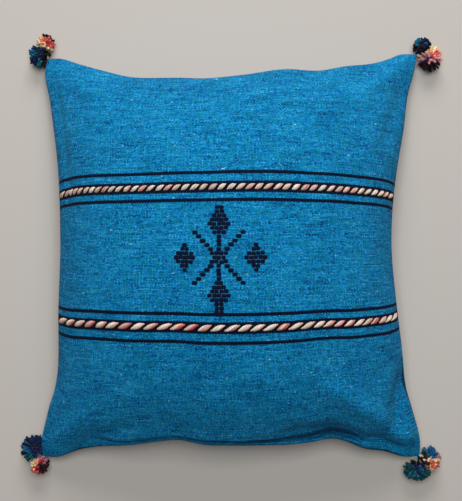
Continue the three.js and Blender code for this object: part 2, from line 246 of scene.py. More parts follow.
# The pompoms: where each middle lies from its corner, its half sizes, and its wools, each at a
# place of the pompom seen from above, in half sizes from its middle.
POMPOMS = [
    {"corner": "top_left", "tone": "dark", "right": -9.5, "up": 5.5, "rx": 15, "ry": 18, "wools": [
        (-0.4, 0.95, "black"), (-0.8, 0.3, "blue"), (-0.6, -0.1, "teal"), (-0.5, -0.8, "navy"),
        (-0.2, 0.3, "navy"), (0.1, -0.1, "navy"), (0.2, -0.5, "teal"), (0.6, -0.7, "maroon"),
        (0.8, -0.2, "black"), (0.1, -0.9, "teal")]},
    {"corner": "top_left", "tone": "bright", "right": -2.6, "up": 19.6, "rx": 11.5, "ry": 13,
     "wools": [
        (-0.8, 0.3, "cream"), (-0.6, -0.4, "cream"), (-0.3, 0.6, "peach"), (0, 1, "black"),
        (0.2, 0.3, "coral"), (0.5, 0, "red"), (0.7, 0.7, "maroon"), (0.8, -0.2, "coral"),
        (0, -0.8, "cream"), (0.5, -0.9, "cream"), (-0.2, -0.2, "peach")]},
    {"corner": "top_right", "tone": "dark", "right": 7.5, "up": 10.3, "rx": 12.5, "ry": 11,
     "wools": [
        (-0.5, 0.5, "teal"), (0, 0.5, "navy"), (0.6, 0.5, "black"), (0.2, 0, "navy"),
        (-0.6, -0.4, "maroon"), (0.5, -0.3, "black"), (-0.1, 0.1, "blue")]},
    {"corner": "top_right", "tone": "bright", "right": 16.5, "up": -4.5, "rx": 16, "ry": 18,
     "wools": [
        (0.3, 0.9, "cream"), (0.7, 0.7, "peach"), (-0.2, 0.5, "peach"), (0.6, 0.3, "coral"),
        (0.3, 0, "red"), (0.8, -0.3, "pink"), (0.3, -0.4, "pink"), (-0.4, -0.1, "mauve"),
        (-0.4, -0.8, "maroon"), (0.2, -0.9, "black"), (0.7, -0.8, "maroon")]},
    {"corner": "bottom_right", "tone": "bright", "right": 12.3, "up": -4.3, "rx": 14.5, "ry": 16,
     "wools": [
        (0, 0.8, "blue"), (-0.3, 0.6, "teal"), (0.5, 0.7, "blue"), (0.8, 0.35, "mauve"),
        (-0.7, 0.3, "maroon"), (0.2, 0.05, "cream"), (0.8, -0.05, "cream"), (-0.3, 0, "cream"),
        (0.3, -0.45, "coral"), (0.7, -0.5, "coral"), (0.1, -0.85, "peach"),
        (-0.5, -0.5, "maroon")]},
    {"corner": "bottom_right", "tone": "dark", "right": -2.5, "up": -18, "rx": 18, "ry": 12.5,
     "wools": [
        (-0.8, 0.1, "green"), (-0.3, 0.3, "navy"), (0.1, 0.1, "blue"), (0.2, -0.2, "navy"),
        (-0.3, -0.8, "green"), (0.6, -0.5, "green"), (0.8, 0.3, "navy"), (0.1, 0.9, "black"),
        (-0.6, -0.4, "teal")]},
    {"corner": "bottom_left", "tone": "dark", "right": -12, "up": 8, "rx": 16.5, "ry": 18,
     "wools": [
        (0, 0.8, "navy"), (-0.4, 0.6, "black"), (0.5, 0.5, "navy"), (0.5, 0, "purple"),
        (-0.5, 0.1, "blue"), (0, 0.1, "navy"), (-0.8, -0.4, "black"), (-0.6, -0.7, "green"),
        (-0.2, -0.8, "teal"), (0.3, -0.5, "navy")]},
    {"corner": "bottom_left", "tone": "bright", "right": -4.9, "up": -10, "rx": 11.5, "ry": 13,
     "wools": [
        (-0.1, 0.9, "pink"), (0.6, 0.7, "mauve"), (-0.8, 0.1, "cream"), (-0.4, 0.1, "peach"),
        (0.1, 0.1, "red"), (0.5, -0.1, "black"), (0.8, 0, "maroon"), (0, -0.6, "red"),
        (-0.3, -0.9, "coral"), (0.3, -0.7, "maroon")]},
]
WOOLS = {
    "black": 0x0A090E, "navy": 0x10244C, "blue": 0x17568A, "teal": 0x14687C, "green": 0x0D4A50,
    "purple": 0x25205A, "maroon": 0x341523, "cream": 0xF3DCAE, "peach": 0xEFB184,
    "pink": 0xE79AA2, "mauve": 0xB07C8E, "coral": 0xE2665F, "red": 0xC43040,
}
CORNERS = {
    "top_left": TOP_LEFT, "top_right": TOP_RIGHT,
    "bottom_right": BOTTOM_RIGHT, "bottom_left": BOTTOM_LEFT,
}
POMPOM_MIDDLE_HEIGHT = 11.5
POMPOM_HALF_HEIGHT = 12.5
STRANDS = 120
STRAND_STEPS = 8
STRAND_SIDES = 8
STRAND_ROOT = 0.95
STRAND_TIP = 1.75
TIE_RADIUS = 0.75

# The floor under the cushion.
FLOOR_HALF = 3000.0
FLOOR_DROP = 0.4

# The eye: straight above but for a small tilt, as far away as the photograph was taken.
EYE_DISTANCE = 1150.0
EYE_TILT = 4.0
LENS = 66.37


def colour(hex_value):
    """An sRGB hex value as linear red, green, blue and full alpha."""
    channels = np.array([(hex_value >> shift) & 255 for shift in (16, 8, 0)]) / 255
    linear = np.where(channels <= 0.04045, channels / 12.92, ((channels + 0.055) / 1.055) ** 2.4)
    return (*linear, 1.0)


def smoothstep(low, high, value):
    """0 below low, 1 above high, and a smooth rise between them."""
    x = np.clip((value - low) / (high - low), 0, 1)
    return x * x * (3 - 2 * x)


# The form of the filled cover

def through(rows, at):
    """A smooth curve through the rows of a table, one cubic between each pair of rows."""
    table = np.array(rows, float)
    where, depth = table[:, 0], table[:, 1]
    slope = np.empty_like(depth)
    slope[1:-1] = (depth[2:] - depth[:-2]) / (where[2:] - where[:-2])
    slope[0] = (depth[1] - depth[0]) / (where[1] - where[0])
    slope[-1] = (depth[-1] - depth[-2]) / (where[-1] - where[-2])
    row = np.clip(np.searchsorted(where, at, side="right") - 1, 0, len(where) - 2)
    span = where[row + 1] - where[row]
    q = (at - where[row]) / span
    return (depth[row] * (1 + 2 * q) * (1 - q) ** 2 + slope[row] * span * q * (1 - q) ** 2
            + depth[row + 1] * q * q * (3 - 2 * q) + slope[row + 1] * span * q * q * (q - 1))


def side_line(rows, even_depth, start, end, at, inward, away):
    """The line from start to end moved inwards: by the seam's rows on the seam, and by the
    even curve away from it."""
    even = even_depth * (1 - np.abs(2 * at - 1) ** EVEN_FALL)
    depth = even + (through(rows, at) - even) * (1 - away) ** SEAM_INFLUENCE
    start, end = np.array(start), np.array(end)
    return start + (end - start) * at[..., None] + depth[..., None] * np.array(inward)


def plan(s, t):
    """A patch blended from its four sides: left to right by s, plus bottom to top by t, less
    the flat patch of the four corners."""
    left = side_line(LEFT_SIDE, EVEN_DEPTH["left"], BOTTOM_LEFT, TOP_LEFT, t, (1, 0), s)
    right = side_line(RIGHT_SIDE, EVEN_DEPTH["right"], BOTTOM_RIGHT, TOP_RIGHT, t, (-1, 0), 1 - s)
    bottom = side_line(BOTTOM_SIDE, EVEN_DEPTH["bottom"], BOTTOM_LEFT, BOTTOM_RIGHT, s, (0, 1), t)
    top = side_line(TOP_SIDE, EVEN_DEPTH["top"], TOP_LEFT, TOP_RIGHT, s, (0, -1), 1 - t)
    s, t = s[..., None], t[..., None]
    corners = ((1 - s) * (1 - t) * np.array(BOTTOM_LEFT) + s * (1 - t) * np.array(BOTTOM_RIGHT)
               + (1 - s) * t * np.array(TOP_LEFT) + s * t * np.array(TOP_RIGHT))
    return (1 - s) * left + s * right + (1 - t) * bottom + t * top - corners


def cushion_form(s, t, face):
    """The filled form: the seam's height plus a crown, ((1 - |u|^a)(1 - |v|^a))^b, which is
    full in the middle and falls to the seams. The back is the same downwards, cut off flat."""
    s, t = np.broadcast_arrays(np.asarray(s, float), np.asarray(t, float))
    u, v = 2 * s - 1, 2 * t - 1
    across = u * (1 + STEEPNESS * (1 - u * u) * np.sqrt(np.clip(1 - v * v, 0, 1)))
    along = v * (1 + STEEPNESS * (1 - v * v) * np.sqrt(np.clip(1 - u * u, 0, 1)))
    edge_u, edge_v = np.abs(u) ** FALL, np.abs(v) ** FALL
    crown = np.clip((1 - edge_u) * (1 - edge_v), 0, 1) ** FULLNESS
    seam = CORNER_HEIGHT + (SEAM_HEIGHT - CORNER_HEIGHT) * (1 - edge_u * edge_v)
    if face:
        height = seam + SEAM_THICKNESS / 2 + FACE_CROWN * crown
    else:
        height = np.maximum(seam - SEAM_THICKNESS / 2 - BACK_CROWN * crown, 0)
    return np.concatenate([plan((1 + across) / 2, (1 + along) / 2), height[..., None]], -1)


def frame_shift():
    """From the sizes above to the frame: it brings the form's lowest X and Y to the node's."""
    low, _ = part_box("cushion")
    edge = np.linspace(0, 1, 801)
    ends = [cushion_form(0 * edge, edge, True), cushion_form(edge, 0 * edge, True)]
    lowest = np.concatenate(ends).min(0)
    return np.array([low.x / MM - lowest[0], low.y / MM - lowest[1], 0.0])


SHIFT = frame_shift()


# Meshes

def mesh_piece(name, points, faces, material, smooth=True):
    """An object from arrays: points in millimetres of the frame, faces of three or four."""
    mesh = bpy.data.meshes.new(name)
    faces = faces.tolist() if isinstance(faces, np.ndarray) else list(faces)
    mesh.from_pydata((np.asarray(points) * MM).tolist(), [], faces)
    mesh.polygons.foreach_set("use_smooth", [smooth] * len(mesh.polygons))
    mesh.update()
    piece = bpy.data.objects.new(name, mesh)
    bpy.context.scene.collection.objects.link(piece)
    if material:
        mesh.materials.append(material)
    return piece


def level_square(name, half, height, material):
    """A level square about the origin, facing up."""
    corners = [(-half, -half, height), (half, -half, height), (half, half, height),
               (-half, half, height)]
    return mesh_piece(name, corners, [(0, 1, 2, 3)], material)


def quads(index):
    """The four-cornered faces of a grid of vertex numbers, turned so that rows rise to the left
    of columns."""
    corners = [index[:-1, :-1], index[:-1, 1:], index[1:, 1:], index[1:, :-1]]
    return np.stack(corners, -1).reshape(-1, 4)


def rim_of(index):
    """The vertex numbers once round the edge of a grid, from its first corner along its first
    row."""
    return np.concatenate([index[0, :-1], index[:-1, -1], index[-1, :0:-1], index[:0:-1, 0]])


def wall(loops):
    """The faces of a wall that goes from each closed loop of vertex numbers to the next."""
    loops = np.array(loops)
    loops = np.concatenate([loops, loops[:, :1]], 1)
    return quads(loops)[:, ::-1]


def point_values(piece, name, kind, values):
    """Stores one value at each vertex under a name that a material can read."""
    layer = piece.data.attributes.new(name, kind, "POINT")
    field = "color" if kind == "FLOAT_COLOR" else "vector"
    layer.data.foreach_set(field, np.asarray(values, np.float32).ravel())


def rod_faces(count, steps, sides):
    """The faces of many rods: quads from ring to ring, and a fan of triangles on each end."""
    index = np.arange(steps * sides).reshape(steps, sides)
    index = np.concatenate([index, index[:, :1]], 1)
    first, last = index[0], index[-1]
    start, end = steps * sides, steps * sides + 1
    caps = np.concatenate([np.stack([first[:-1], first[1:], np.full(sides, start)], 1),
                           np.stack([last[1:], last[:-1], np.full(sides, end)], 1)])
    lift = np.arange(count)[:, None, None] * (steps * sides + 2)
    faces = (quads(index)[:, ::-1] + lift).reshape(-1, 4).tolist()
    return faces + (caps + lift).reshape(-1, 3).tolist()


def rod_turns(paths, angle):
    """Each point's direction round its rod, as cosine and sine, and how far along it lies."""
    count, steps, _ = paths.shape
    length = np.linalg.norm(np.diff(paths, axis=1), axis=2).cumsum(1)
    length = np.concatenate([np.zeros((count, 1)), length], 1)
    turn = np.empty((count, steps, len(angle), 3))
    turn[..., 0] = np.cos(angle)
    turn[..., 1] = np.sin(angle)
    turn[..., 2] = length[..., None]
    ends = np.zeros((count, 2, 3))
    ends[:, :, 2] = length[:, [0, -1]]
    return np.concatenate([turn.reshape(count, -1, 3), ends], 1).reshape(-1, 3)


def tubes(paths, radii, sides):
    """Closed round rods along many paths at once. Each ring stands square to its path, its
    first direction as near to level as can be; the ends close on a middle point."""
    count, steps, _ = paths.shape
    tangent = np.gradient(paths, axis=1)
    tangent /= np.linalg.norm(tangent, axis=2, keepdims=True)
    side = np.cross(tangent, (0.02, 0.01, 1.0))
    side /= np.linalg.norm(side, axis=2, keepdims=True)
    over = np.cross(side, tangent)
    angle = 2 * np.pi * np.arange(sides) / sides
    ring = side[:, :, None] * np.cos(angle)[:, None] + over[:, :, None] * np.sin(angle)[:, None]
    body = paths[:, :, None] + ring * radii[:, :, None, None]
    points = np.concatenate([body.reshape(count, -1, 3), paths[:, :1], paths[:, -1:]], 1)
    return points.reshape(-1, 3), rod_faces(count, steps, sides), rod_turns(paths, angle)


def yarn_piece(name, paths, radii, sides, wools, material):
    """One mesh of many yarns, each with a wool of its own."""
    points, faces, turn = tubes(paths, radii, sides)
    piece = mesh_piece(name, points, faces, material)
    point_values(piece, "yarn", "FLOAT_COLOR", np.repeat(wools, len(points) // len(paths), axis=0))
    point_values(piece, "turn", "FLOAT_VECTOR", turn)
    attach(piece, "root")
    return piece


# The cloth of the cover

def sewn_grids(s, t):
    """The coarse front and back, which share their vertices at the seam: all points and faces,
    the numbers of the front's and of the back's vertices, and which of them are the seam's."""
    front = cushion_form(s, t, True)
    back = cushion_form(s, t, False)
    back[..., 2] = np.maximum(back[..., 2], SIM_FLOOR_GAP)
    seam = np.zeros(front.shape[:2], bool)
    seam[[0, -1]] = True
    seam[:, [0, -1]] = True
    middle = (front + back) / 2
    front[seam] = middle[seam]
    front_index = np.arange(seam.size).reshape(seam.shape)
    back_index = front_index.copy()
    back_index[~seam] = seam.size + np.arange((~seam).sum())
    points = np.concatenate([front.reshape(-1, 3), back[~seam]]) + SHIFT
    faces = np.concatenate([quads(front_index), quads(back_index)[:, ::-1]])
    return points, faces, front_index, back_index, seam


def cut_shape(piece, s, t, seam):
    """A shape key of the two rectangles lying flat, which gives every thread its real length."""
    flat = np.stack(np.broadcast_arrays((s - 0.5) * CUT_WIDTH, (t - 0.5) * CUT_LENGTH, 0 * s), -1)
    flat = np.concatenate([flat.reshape(-1, 3), flat[~seam]]) * MM
    piece.shape_key_add(name="filled")
    cut = piece.shape_key_add(name="cut")
    cut.data.foreach_set("co", flat.astype(np.float32).ravel())
    cut.value = 0
    return cut


def settled_points(piece):
    """Runs the simulation and gives the vertices of its last frame, in millimetres."""
    for number in range(1, SIM_FRAMES + 1):
        bpy.context.scene.frame_set(number)
    settled = piece.evaluated_get(bpy.context.evaluated_depsgraph_get()).data
    points = np.empty(len(settled.vertices) * 3, np.float32)
    settled.vertices.foreach_get("co", points)
    bpy.context.scene.frame_set(1)
    return points.reshape(-1, 3) / MM


def simulated_filling():
    """The pressure of the filling on the cloth: two rectangles of the real cut, sewn together
    and pinned at the seam, settle from the form. Returns how far front and back moved: d is
    kept below the cap c as d c / sqrt(c^2 + d^2)."""
    s = np.linspace(0, 1, SIM_ACROSS + 1)[None, :]
    t = np.linspace(0, 1, SIM_ALONG + 1)[:, None]
    points, faces, front_index, back_index, seam = sewn_grids(s, t)
    piece = mesh_piece("filling", points, faces, None)
    cut = cut_shape(piece, s, t, seam)
    sewn = piece.vertex_groups.new(name="sewn")
    sewn.add(front_index[seam].tolist(), 1.0, "REPLACE")
    rest = level_square("rest", SIM_FLOOR_HALF, 0.0, None)
    rest.modifiers.new("rest", "COLLISION")
    rest.collision.thickness_outer = MM
    cloth = piece.modifiers.new("filling", "CLOTH")
    for name, value in WOOL_CLOTH.items():
        setattr(cloth.settings, name, value)
    cloth.settings.vertex_group_mass = "sewn"
    cloth.settings.rest_shape_key = cut
    cloth.settings.effector_weights.gravity = 0
    cloth.collision_settings.distance_min = 2 * MM
    moved = settled_points(piece) - points
    bpy.data.objects.remove(piece)
    bpy.data.objects.remove(rest)
    far = np.linalg.norm(moved, axis=1, keepdims=True)
    moved *= SIM_CAP / np.sqrt(SIM_CAP ** 2 + far ** 2)
    return moved[front_index], moved[back_index]


def resample(coarse, s, t):
    """A smooth surface through an even grid's values, read at the columns s and rows t, by
    Catmull-Rom weights along each axis."""
    def weights(count, at):
        place = np.clip(at * count, 0, count - 1e-6)
        cell = place.astype(int)
        q = place - cell
        cubic = np.stack([-q ** 3 + 2 * q ** 2 - q, 3 * q ** 3 - 5 * q ** 2 + 2,
                          -3 * q ** 3 + 4 * q ** 2 + q, q ** 3 - q ** 2], 1) / 2
        table = np.zeros((len(at), count + 1))
        rows = np.arange(len(at))
        for step in range(4):
            column = np.clip(cell + step - 1, 0, count)
            np.add.at(table, (rows, column), cubic[:, step])
        return table
    rows = weights(coarse.shape[0] - 1, t)
    columns = weights(coarse.shape[1] - 1, s)
    return np.einsum("ri,ijk,cj->rck", rows, coarse, columns)


def crowded_lines(count):
    """Grid lines from 0 to 1 whose spacing narrows near both ends."""
    even = np.linspace(0, 1, 2001)
    near = np.minimum(even, 1 - even)
    density = 1 + SEAM_CROWDING * np.exp(-(near / SEAM_CROWD_WIDTH) ** 2)
    total = np.concatenate([[0], np.cumsum((density[1:] + density[:-1]) / 2)])
    return np.interp(np.linspace(0, total[-1], count + 1), total, even)


def along_fold(x, y, fold):
    """How much a fold lifts a point: a bell across its line that fades out past both ends."""
    start, end = np.array(fold["start"]), np.array(fold["end"])
    reach = end - start
    length = np.hypot(*reach)
    share = ((x - start[0]) * reach[0] + (y - start[1]) * reach[1]) / length ** 2
    near = np.clip(share, 0, 1)
    away = np.hypot(x - start[0] - near * reach[0], y - start[1] - near * reach[1])
    return fold["height"] * np.exp(-(away / fold["width"]) ** 2)


def face_relief(s, t):
    """What stands out of the smooth face: the listed folds and the gathers at the seams."""
    x, y = (s - 0.5) * CUT_WIDTH, (t - 0.5) * CUT_LENGTH
    lift = sum(along_fold(x, y, fold) for fold in FOLDS)
    return lift + gathers(s, t, 0.0)


def lip(s, t):
    """The cloth along the bottom seam: how far it sinks, in a deep crease, exp(-|d / w|^3), and
    then a flat lip, and how much painted shade darkens its colour there, from 0 to 1."""
    fade = (smoothstep(LIP_START, LIP_START + LIP_FADE, s)
            * (1 - smoothstep(LIP_END - LIP_FADE, LIP_END, s)))
    wander = 1.6 * np.sin(s * 19) + 0.9 * np.sin(s * 41 + 1)
    wide = np.exp(-((s - LIP_WIDEST) / LIP_WIDE_REACH) ** 2)
    from_seam = t * CUT_LENGTH
    from_line = from_seam - LIP_FROM_SEAM * (1 - LIP_NEARER * wide) - wander
    width = LIP_EDGE * (1 + LIP_WIDER * wide)
    crease = np.exp(-np.abs(from_line / width) ** 3) * smoothstep(0, LIP_FROM_SEAM / 2, from_seam)
    crease = crease * (LIP_LEFT_SHARE + (1 - LIP_LEFT_SHARE) * smoothstep(0.3, 0.6, s))
    step = 1 - smoothstep(-LIP_EDGE, LIP_EDGE, from_line)
    flat = step * smoothstep(0, LIP_FROM_SEAM, from_seam)
    # Painted shade in the crease and on the flat lip.
    shade = LIP_SHADE["crease"] * crease + LIP_SHADE["flat"] * flat
    return fade * (LIP_CREASE * crease + LIP_DEPTH * flat), fade * shade


def gathers(s, t, turn):
    """Small puckers that run in from each seam and die out: sums of waves along the seam."""
    x, y = s * CUT_WIDTH, t * CUT_LENGTH
    lift = 0
    sides = [(x, y, turn), (CUT_WIDTH - x, y, turn + 1), (y, x, turn + 2),
             (CUT_LENGTH - y, x, turn + 3)]
    for away, along, phase in sides:
        wave = sum(pucker["height"] * np.sin(along / pucker["length"] + pucker["turn"] * phase)
                   for pucker in PUCKERS)
        slow = 0.6 + 0.4 * np.sin(along / PUCKER_SWELL + 2 * phase)
        ends = np.exp(-away / PUCKER_REACH) * (1 - np.exp(-away / PUCKER_START))
        lift = lift + PUCKER_HEIGHT * wave * slow * ends
    return lift


def outward(grid):
    """The unit normals of a grid of points, pointing to the left of rows over columns."""
    normal = np.cross(np.gradient(grid, axis=1), np.gradient(grid, axis=0))
    return normal / np.linalg.norm(normal, axis=2, keepdims=True)


def weave_y(s, distance):
    """The weave's own height on the cloth, in which both bands run level."""
    upper, lower = (through(band["path"], s) for band in BANDS)
    stretch = (BANDS[0]["weave_y"] - BANDS[1]["weave_y"]) / (upper - lower)
    return BANDS[0]["weave_y"] + stretch * (distance - upper)


def cloth_distance(s, height):
    """The inverse of weave_y: the distance along the cloth at which the weave is so high."""
    upper, lower = (through(band["path"], s) for band in BANDS)
    stretch = (BANDS[0]["weave_y"] - BANDS[1]["weave_y"]) / (upper - lower)
    return upper + (height - BANDS[0]["weave_y"]) / stretch


def cover_sheets(s, t):
    """The finished front and back, and the painted shade of the lip on the front: the form as
    the filling moved it, with its folds, its lip and its gathers. Where the back comes near the
    floor it stays as it is."""
    front = cushion_form(s[None, :], t[:, None], True) + SHIFT
    back = cushion_form(s[None, :], t[:, None], False) + SHIFT
    free = smoothstep(0, REST_FADE, back[..., 2])[..., None]
    moved_front, moved_back = simulated_filling()
    front = front + resample(moved_front, s, t)
    back = back + resample(moved_back, s, t) * free
    grid_s, grid_t = np.broadcast_arrays(s[None, :], t[:, None])
    front = front + outward(front) * face_relief(grid_s, grid_t)[..., None]
    sunk, shade = lip(grid_s, grid_t)
    front[..., 2] -= sunk
    back = back - outward(back) * gathers(grid_s, grid_t, 4.0)[..., None] * free
    back[..., 2] = np.maximum(back[..., 2], 0)
    return front, back, shade


def seam_rings(upper, lower):
    """The rings of points between the rims of front and back, each part of the way up and a
    little out from them."""
    forward = np.roll(upper, -1, 0) - np.roll(upper, 1, 0)
    out = np.cross(forward, (0, 0, 1.0))
    out /= np.linalg.norm(out, axis=1, keepdims=True)
    return [lower + (upper - lower) * share + out * reach for share, reach in SEAM_STRIPS]


def weave_values(s, t, shade, rim):
    """Where each vertex lies in the weave: across it, up it, and a side value: 1 less the lip's
    painted shade on the front, -1 on the back, and between the two round the seam. The material
    paints shade by how far this value falls short of 1 or -1, darkest at the seam's middle."""
    across = (s - 0.5) * CUT_WIDTH
    high = weave_y(s, (t - 0.5) * CUT_LENGTH)
    front = np.stack([across, high, 1 - shade], -1).reshape(-1, 3)
    back = np.stack([across, high, -np.ones_like(across)], -1).reshape(-1, 3)
    edge = [front[rim] * (1, 1, 2 * share - 1) for share, _ in SEAM_STRIPS]
    return np.concatenate([front, back, *edge])


def cover(material):
    """The sewn cover: its front and back, joined by a narrow seam edge whose middle is drawn in
    by the stitches."""
    s, t = crowded_lines(FINE_ACROSS), crowded_lines(FINE_ALONG)
    front, back, shade = cover_sheets(s, t)
    index = np.arange(len(t) * len(s)).reshape(len(t), len(s))
    rim = rim_of(index)
    rings = seam_rings(front.reshape(-1, 3)[rim], back.reshape(-1, 3)[rim])
    points = np.concatenate([front.reshape(-1, 3), back.reshape(-1, 3), *rings])
    loops = [2 * index.size + k * len(rim) + np.arange(len(rim)) for k in range(len(rings))]
    edge = wall([rim, *loops, rim + index.size])
    faces = np.concatenate([quads(index), quads(index + index.size)[:, ::-1], edge])
    piece = mesh_piece("kilim_cushion", points, faces, material)
    grid_s, grid_t = np.broadcast_arrays(s[None, :], t[:, None])
    point_values(piece, "weave", "FLOAT_VECTOR", weave_values(grid_s, grid_t, shade, rim))
    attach(piece, "root")
    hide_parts("cushion")
    return {"s": s, "t": t, "points": front, "normals": outward(front)}


def on_face(face, x, weave_height):
    """Points and normals of the finished face at places of the weave, between grid points."""
    s = np.clip(x / CUT_WIDTH + 0.5, 0, 1)
    t = np.clip(cloth_distance(s, weave_height) / CUT_LENGTH + 0.5, 0, 1)
    column = np.clip(np.searchsorted(face["s"], s, side="right") - 1, 0, len(face["s"]) - 2)
    row = np.clip(np.searchsorted(face["t"], t, side="right") - 1, 0, len(face["t"]) - 2)
    p = (s - face["s"][column]) / (face["s"][column + 1] - face["s"][column])
    q = (t - face["t"][row]) / (face["t"][row + 1] - face["t"][row])
    p, q = p[..., None], q[..., None]

    def blended(grid):
        return ((1 - q) * ((1 - p) * grid[row, column] + p * grid[row, column + 1])
                + q * ((1 - p) * grid[row + 1, column] + p * grid[row + 1, column + 1]))
    return blended(face["points"]), blended(face["normals"])


# The twined bands

def wrap_wools(band, rng, shape):
    """The wool of each yarn of each wrap. A wrap keeps to one or two neighbouring shades, from
    cream to coral; the lower band's wraps also have a red yarn on their upper side."""
    shades = [0xFAEEDC, 0xF6DFCB, 0xF3C8B8, 0xE9A294, 0xDB706A, 0xB83A48]
    palette = np.array([colour(shade) for shade in shades])
    wrap = 2.4 * rng.random((shape[0], 1)) ** 1.5
    yarn = np.linspace(0, 1, shape[1])[None, :]
    pull = wrap + 1.9 * rng.random(shape) + (0.5 + 2.0 * band["red"]) * yarn ** 2 - 0.4
    wool = palette[np.clip(pull, 0, len(palette) - 1).astype(int)]
    return wool * (0.72 + 0.36 * rng.random(shape))[..., None]


def wrap_paths(band, face, share, pitch, rng):
    """The path of every yarn, whose place runs from -1 on the band's lower edge to 1 on its
    upper one: it leans along the band as it climbs, and arches over it by 1 - |place|^2.4."""
    bundle = np.linspace(-0.5, 0.5, WRAP_YARNS)
    places = np.append(bundle * WRAP_SHARE * 0.8, FURROW_PLACES)
    dark = np.arange(len(places)) >= WRAP_YARNS
    dome = np.append(1 - (2 * bundle) ** 2, np.zeros(len(FURROW_PLACES)))
    shape = (len(share), len(places))
    middle = (share[:, None] - 0.5) * BAND_REACH + rng.normal(0, 0.35, (len(share), 1))
    tau = np.linspace(-1, 1, WRAP_STEPS)
    spread = pitch * places + rng.normal(0, 0.15, shape)
    lean = band["slant"] * (0.85 + 0.3 * rng.random((len(share), 1))) * np.ones(shape)
    x = middle[..., None] + spread[..., None] * (1 - 0.35 * tau ** 2)
    x = x + lean[..., None] * (tau - 0.12 * np.sin(np.pi * tau)) / 2
    edge = BAND_WIDTH / 2 * (0.92 + 0.16 * rng.random(shape)) * np.where(dark, 0.85, 1)
    y = band["weave_y"] + tau * edge[..., None]
    limit = CUT_WIDTH / 2 - SEAM_CLEARANCE
    points, normals = on_face(face, np.clip(x, -limit, limit), y)
    height = np.where(dark, FURROW_RISE, WRAP_RISE * (0.62 + 0.38 * dome))
    height = height * (0.9 + 0.2 * rng.random(shape))
    arch = (1 - np.abs(tau) ** 2.4)[None, None, :]
    return points + normals * (height[..., None] * arch - WRAP_SUNK)[..., None]


def twined_band(band, face, material, rng):
    """A band of slanted wraps: each is a bundle of yarns that climb over the band from its lower
    edge to its upper one, and two black yarns fill the furrow before the next bundle."""
    share = (np.arange(band["wraps"]) + 0.5) / band["wraps"]
    share = share + band["drift"] * share * (1 - share)
    pitch = (np.gradient(share) * BAND_REACH)[:, None]
    paths = wrap_paths(band, face, share, pitch, rng)
    dark = np.arange(paths.shape[1]) >= WRAP_YARNS
    radius = np.where(dark, FURROW_RADIUS, pitch * WRAP_SHARE / WRAP_YARNS * 0.62)
    taper = 0.5 + 0.5 * np.sqrt(1 - np.linspace(-1, 1, WRAP_STEPS) ** 2 * 0.98)
    radii = radius[..., None] * taper
    black = np.broadcast_to(colour(WOOLS["black"]), (len(share), len(FURROW_PLACES), 4))
    wool = np.concatenate([wrap_wools(band, rng, (len(share), WRAP_YARNS)), black], 1)
    piece = yarn_piece(band["name"], paths.reshape(-1, WRAP_STEPS, 3),
                       radii.reshape(-1, WRAP_STEPS), WRAP_SIDES, wool.reshape(-1, 4), material)
    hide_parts(band["node"])


# The brocaded star

def row_of_dashes(middle, pitch, row, count):
    """Dashes side by side in one row of the weave."""
    return [(middle + (k - (count - 1) / 2) * pitch, row, DASH_LENGTH) for k in range(count)]


def dash_places():
    """Every dash of the star: how far its middle is from the star's, its row and its length."""
    places = []
    for row, count in UPRIGHT_ROWS.items():
        places += row_of_dashes(0, DASH_PITCH, row, count)
    for diamond in SIDE_DIAMONDS:
        for row, count in diamond["rows"].items():
            places += row_of_dashes(diamond["right"], diamond["pitch"], row, count)
    for row in ARM_ROWS:
        for side in (-1, 1):
            places += [(side * row * ARM_SPREAD, row, ARM_DASH_LENGTH),
                       (side * row * ARM_SPREAD, -row, ARM_DASH_LENGTH)]
    return np.array(places, float)


def pad_faces(count, rows, columns):
    """The faces of many closed pads: an upper grid, one under it, and a wall round their rims."""
    index = np.arange(rows * columns).reshape(rows, columns)
    rim = rim_of(index)
    one = np.concatenate([quads(index), quads(index + index.size)[:, ::-1],
                          wall([rim, rim + index.size])])
    faces = one[None] + np.arange(count)[:, None, None] * 2 * index.size
    return faces.reshape(-1, 4)


def star(face, material, rng):
    """The star's dashes: each is a small pad, 1 - a^4 long by 1 - b^2 high, whose rim goes into
    the cloth, with the backs of its yarns, |cos(1.5 pi b)|, along it."""
    dashes = dash_places()
    places = dashes[:, :2] * (1, ROW_PITCH) + STAR_MIDDLE
    places = places + rng.normal(0, DASH_WANDER, places.shape)
    a, b = np.meshgrid(np.linspace(-1, 1, 9), np.linspace(-1, 1, 13))
    back = 0.7 + 0.3 * np.abs(np.cos(1.5 * np.pi * b))
    grow = 0.93 + 0.14 * rng.random((len(places), 1, 1))
    half = dashes[:, 2, None, None] / 2
    x = places[:, 0, None, None] + a * half * grow
    y = places[:, 1, None, None] + b * DASH_HEIGHT / 2 * grow * (1 - DASH_ROUNDING * a ** 4)
    points, normals = on_face(face, x, y)
    pad = np.sqrt(np.clip((1 - a ** 4) * (1 - b ** 2), 0, 1))
    top = DASH_RAISE * pad * grow * back - DASH_RIM_SUNK
    upper = points + normals * top[..., None]
    under = points - normals * DASH_UNDERSIDE
    count, rows, columns = upper.shape[:3]
    verts = np.stack([upper.reshape(count, -1, 3), under.reshape(count, -1, 3)], 1)
    piece = mesh_piece("brocaded_star", verts.reshape(-1, 3), pad_faces(count, rows, columns),
                       material)
    # The third value, the backs of the yarns, also sets the material's painted shade between them.
    along = np.stack(np.broadcast_arrays(a * half, 1.5 * b, back), -1).reshape(count, 1, -1, 3)
    point_values(piece, "dash", "FLOAT_VECTOR", np.concatenate([along, along], 1))
    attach(piece, "root")


# The pompoms

def strand_wools(row, direction, rng):
    """Each strand takes the wool of the nearest place in the pompom's table."""
    table = np.array([place[:2] for place in row["wools"]])
    wools = np.array([colour(WOOLS[place[2]]) for place in row["wools"]])
    seen = direction[:, None, :2] + rng.normal(0, 0.12, (len(direction), 1, 2))
    nearest = np.linalg.norm(seen - table[None], axis=2).argmin(1)
    return wools[nearest] * (0.8 + 0.4 * rng.random((len(direction), 1)))


